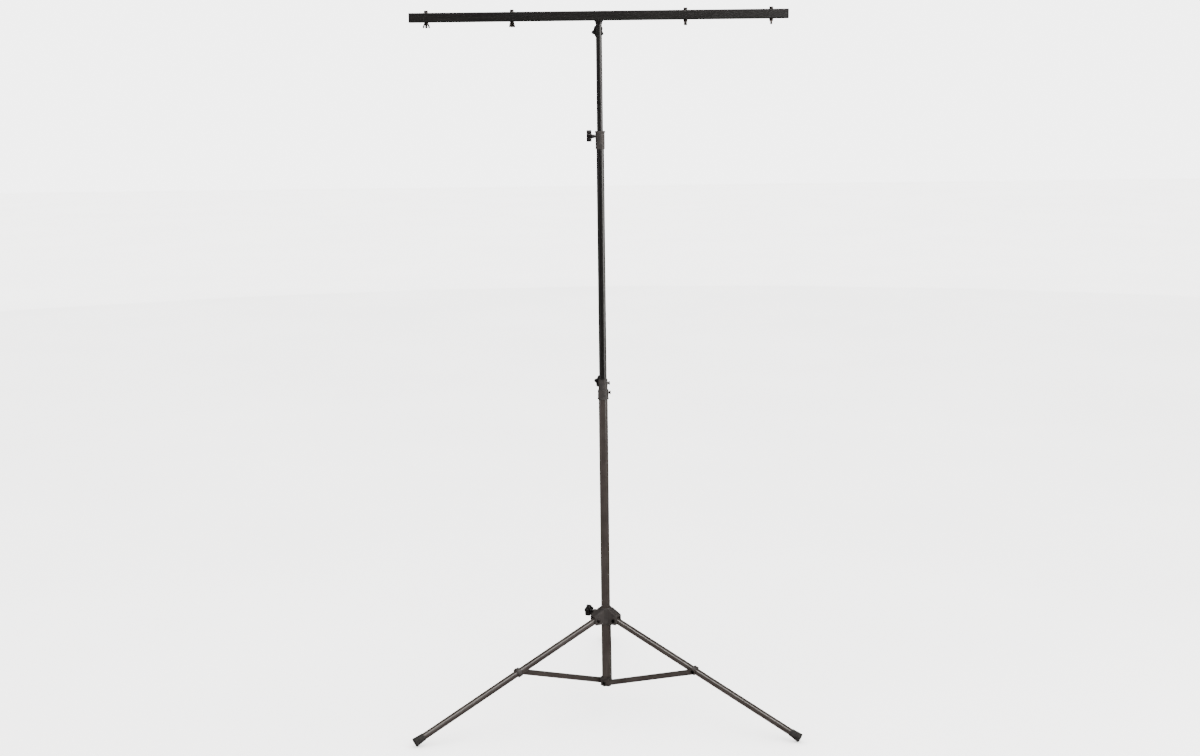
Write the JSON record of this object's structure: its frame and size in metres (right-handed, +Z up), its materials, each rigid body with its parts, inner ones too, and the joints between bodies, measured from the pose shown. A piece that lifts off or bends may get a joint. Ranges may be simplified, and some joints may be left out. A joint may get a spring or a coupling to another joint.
{
  "type": "lighting t bar stand",
  "caption": "Telescopic tripod stand with a square cross bar on top for hanging lamps, star-knob clamps on each tube and folding braced legs.",
  "frame": {"origin": "middle of the footprint, on the floor", "axes": "+Z up along the post, +X along the cross bar to the right in the picture, -Y to the camera, with the third leg pointing to +Y"},
  "size_m": [1.2436, 1.0804, 2.3053],
  "materials": {
    "powder_coat": "semi-gloss black powder coat on steel tube",
    "moulding": "matt dark grey moulded nylon",
    "knob_plastic": "satin black moulded plastic",
    "rubber": "matt black rubber",
    "zinc_steel": "zinc-plated steel",
    "black_steel": "black-passivated steel"
  },
  "bodies": {
    "column": {"lower_tube": "powder_coat", "base_hub": "moulding", "brace_bolt_right": "black_steel", "brace_bolt_left": "black_steel", "brace_bolt_rear": "black_steel", "middle_collar": "moulding", "middle_collar_screw_lower": "black_steel", "middle_collar_screw_upper": "black_steel"},
    "leg_collar": {"leg_collar": "moulding", "leg_pivot_bolt_right": "black_steel", "leg_pivot_bolt_left": "black_steel", "leg_pivot_bolt_rear": "black_steel"},
    "middle_tube": {"middle_tube": "powder_coat", "middle_tube_bush": "moulding", "upper_collar": "moulding"},
    "upper_tube": {"upper_tube": "powder_coat", "upper_tube_bush": "moulding"},
    "t_bar": {"t_bar": "powder_coat", "t_bar_socket": "powder_coat", "t_bar_end_cap_left": "knob_plastic", "t_bar_end_cap_right": "knob_plastic", "t_bar_bolt_1": "black_steel", "t_bar_bolt_2": "black_steel", "t_bar_bolt_3": "black_steel", "t_bar_bolt_4": "black_steel"},
    "leg_right": {"leg_tube_right": "powder_coat", "leg_foot_right": "rubber", "brace_clamp_right": "moulding"},
    "leg_left": {"leg_tube_left": "powder_coat", "leg_foot_left": "rubber", "brace_clamp_left": "moulding"},
    "leg_rear": {"leg_tube_rear": "powder_coat", "leg_foot_rear": "rubber", "brace_clamp_rear": "moulding"},
    "brace_right": {"brace_right": "powder_coat", "brace_pin_right": "black_steel"},
    "brace_left": {"brace_left": "powder_coat", "brace_pin_left": "black_steel"},
    "brace_rear": {"brace_rear": "powder_coat", "brace_pin_rear": "black_steel"},
    "t_bar_knob": {"t_bar_knob": "knob_plastic", "t_bar_knob_screw": "zinc_steel"},
    "upper_collar_knob": {"upper_collar_knob": "knob_plastic", "upper_collar_knob_screw": "zinc_steel"},
    "middle_collar_knob": {"middle_collar_knob": "knob_plastic", "middle_collar_knob_screw": "zinc_steel"},
    "leg_collar_knob": {"leg_collar_knob": "knob_plastic", "leg_collar_knob_screw": "zinc_steel"},
    "wing_nut_1": {"wing_nut_1": "black_steel"},
    "wing_nut_2": {"wing_nut_2": "black_steel"},
    "wing_nut_3": {"wing_nut_3": "black_steel"},
    "wing_nut_4": {"wing_nut_4": "black_steel"}
  },
  "joints": [
    {"name": "leg_collar_slide", "type": "slide", "parent": "column", "child": "leg_collar", "axis": [0, 0, 1], "range_m": [0, 0.4417]},
    {"name": "leg_hinge_right", "type": "hinge", "parent": "leg_collar", "child": "leg_right", "pos_m": [0.03291, -0.19219, 0.30484], "axis": [0.5, 0.866, 0], "range_deg": [0, 66.51]},
    {"name": "leg_hinge_left", "type": "hinge", "parent": "leg_collar", "child": "leg_left", "pos_m": [-0.03291, -0.19219, 0.30484], "axis": [0.5, -0.866, 0], "range_deg": [0, 66.51]},
    {"name": "leg_hinge_rear", "type": "hinge", "parent": "leg_collar", "child": "leg_rear", "pos_m": [0, -0.13519, 0.30484], "axis": [-1, 0, 0], "range_deg": [0, 66.51]},
    {"name": "brace_hinge_right", "type": "hinge", "parent": "column", "child": "brace_right", "pos_m": [0, -0.17319, 0.082], "axis": [-0.5, -0.866, 0], "range_deg": [0, 67.78]},
    {"name": "brace_hinge_left", "type": "hinge", "parent": "column", "child": "brace_left", "pos_m": [0, -0.17319, 0.082], "axis": [-0.5, 0.866, 0], "range_deg": [0, 67.78]},
    {"name": "brace_hinge_rear", "type": "hinge", "parent": "column", "child": "brace_rear", "pos_m": [0, -0.17319, 0.082], "axis": [1, 0, 0], "range_deg": [0, 67.78]},
    {"name": "middle_tube_slide", "type": "slide", "parent": "column", "child": "middle_tube", "axis": [0, 0, 1], "range_m": [-0.74, 0.03]},
    {"name": "upper_tube_slide", "type": "slide", "parent": "middle_tube", "child": "upper_tube", "axis": [0, 0, 1], "range_m": [-0.285, 0.42]},
    {"name": "t_bar_swivel", "type": "hinge", "parent": "upper_tube", "child": "t_bar", "pos_m": [0, -0.17319, 2.24], "axis": [0, 0, 1], "continuous": true},
    {"name": "t_bar_knob_turn", "type": "hinge", "parent": "upper_tube", "child": "t_bar_knob", "pos_m": [-0.00314, -0.14336, 2.235], "axis": [-0.1045, 0.9945, 0], "continuous": true},
    {"name": "upper_collar_knob_turn", "type": "hinge", "parent": "middle_tube", "child": "upper_collar_knob", "pos_m": [-0.03, -0.17319, 1.90615], "axis": [-1, 0, 0], "continuous": true},
    {"name": "middle_collar_knob_turn", "type": "hinge", "parent": "column", "child": "middle_collar_knob", "pos_m": [-0.00777, -0.14421, 1.1055], "axis": [-0.2588, 0.9659, 0], "continuous": true},
    {"name": "leg_collar_knob_turn", "type": "hinge", "parent": "leg_collar", "child": "leg_collar_knob", "pos_m": [-0.04763, -0.14569, 0.32284], "axis": [-0.866, 0.5, 0], "continuous": true},
    {"name": "wing_nut_1_turn", "type": "hinge", "parent": "t_bar", "child": "wing_nut_1", "pos_m": [-0.545, -0.17319, 2.26], "axis": [0, 0, 1], "continuous": true},
    {"name": "wing_nut_2_turn", "type": "hinge", "parent": "t_bar", "child": "wing_nut_2", "pos_m": [-0.274, -0.17319, 2.26], "axis": [0, 0, 1], "continuous": true},
    {"name": "wing_nut_3_turn", "type": "hinge", "parent": "t_bar", "child": "wing_nut_3", "pos_m": [0.274, -0.17319, 2.26], "axis": [0, 0, 1], "continuous": true},
    {"name": "wing_nut_4_turn", "type": "hinge", "parent": "t_bar", "child": "wing_nut_4", "pos_m": [0.545, -0.17319, 2.26], "axis": [0, 0, 1], "continuous": true}
  ],
  "couplings": [
    {"joint": "leg_hinge_right", "follows": "leg_collar_slide", "rad_per_m": 2.6276},
    {"joint": "leg_hinge_left", "follows": "leg_collar_slide", "rad_per_m": 2.6276},
    {"joint": "leg_hinge_rear", "follows": "leg_collar_slide", "rad_per_m": 2.6276},
    {"joint": "brace_hinge_right", "follows": "leg_collar_slide", "rad_per_m": 2.6775},
    {"joint": "brace_hinge_left", "follows": "leg_collar_slide", "rad_per_m": 2.6775},
    {"joint": "brace_hinge_rear", "follows": "leg_collar_slide", "rad_per_m": 2.6775}
  ]
}
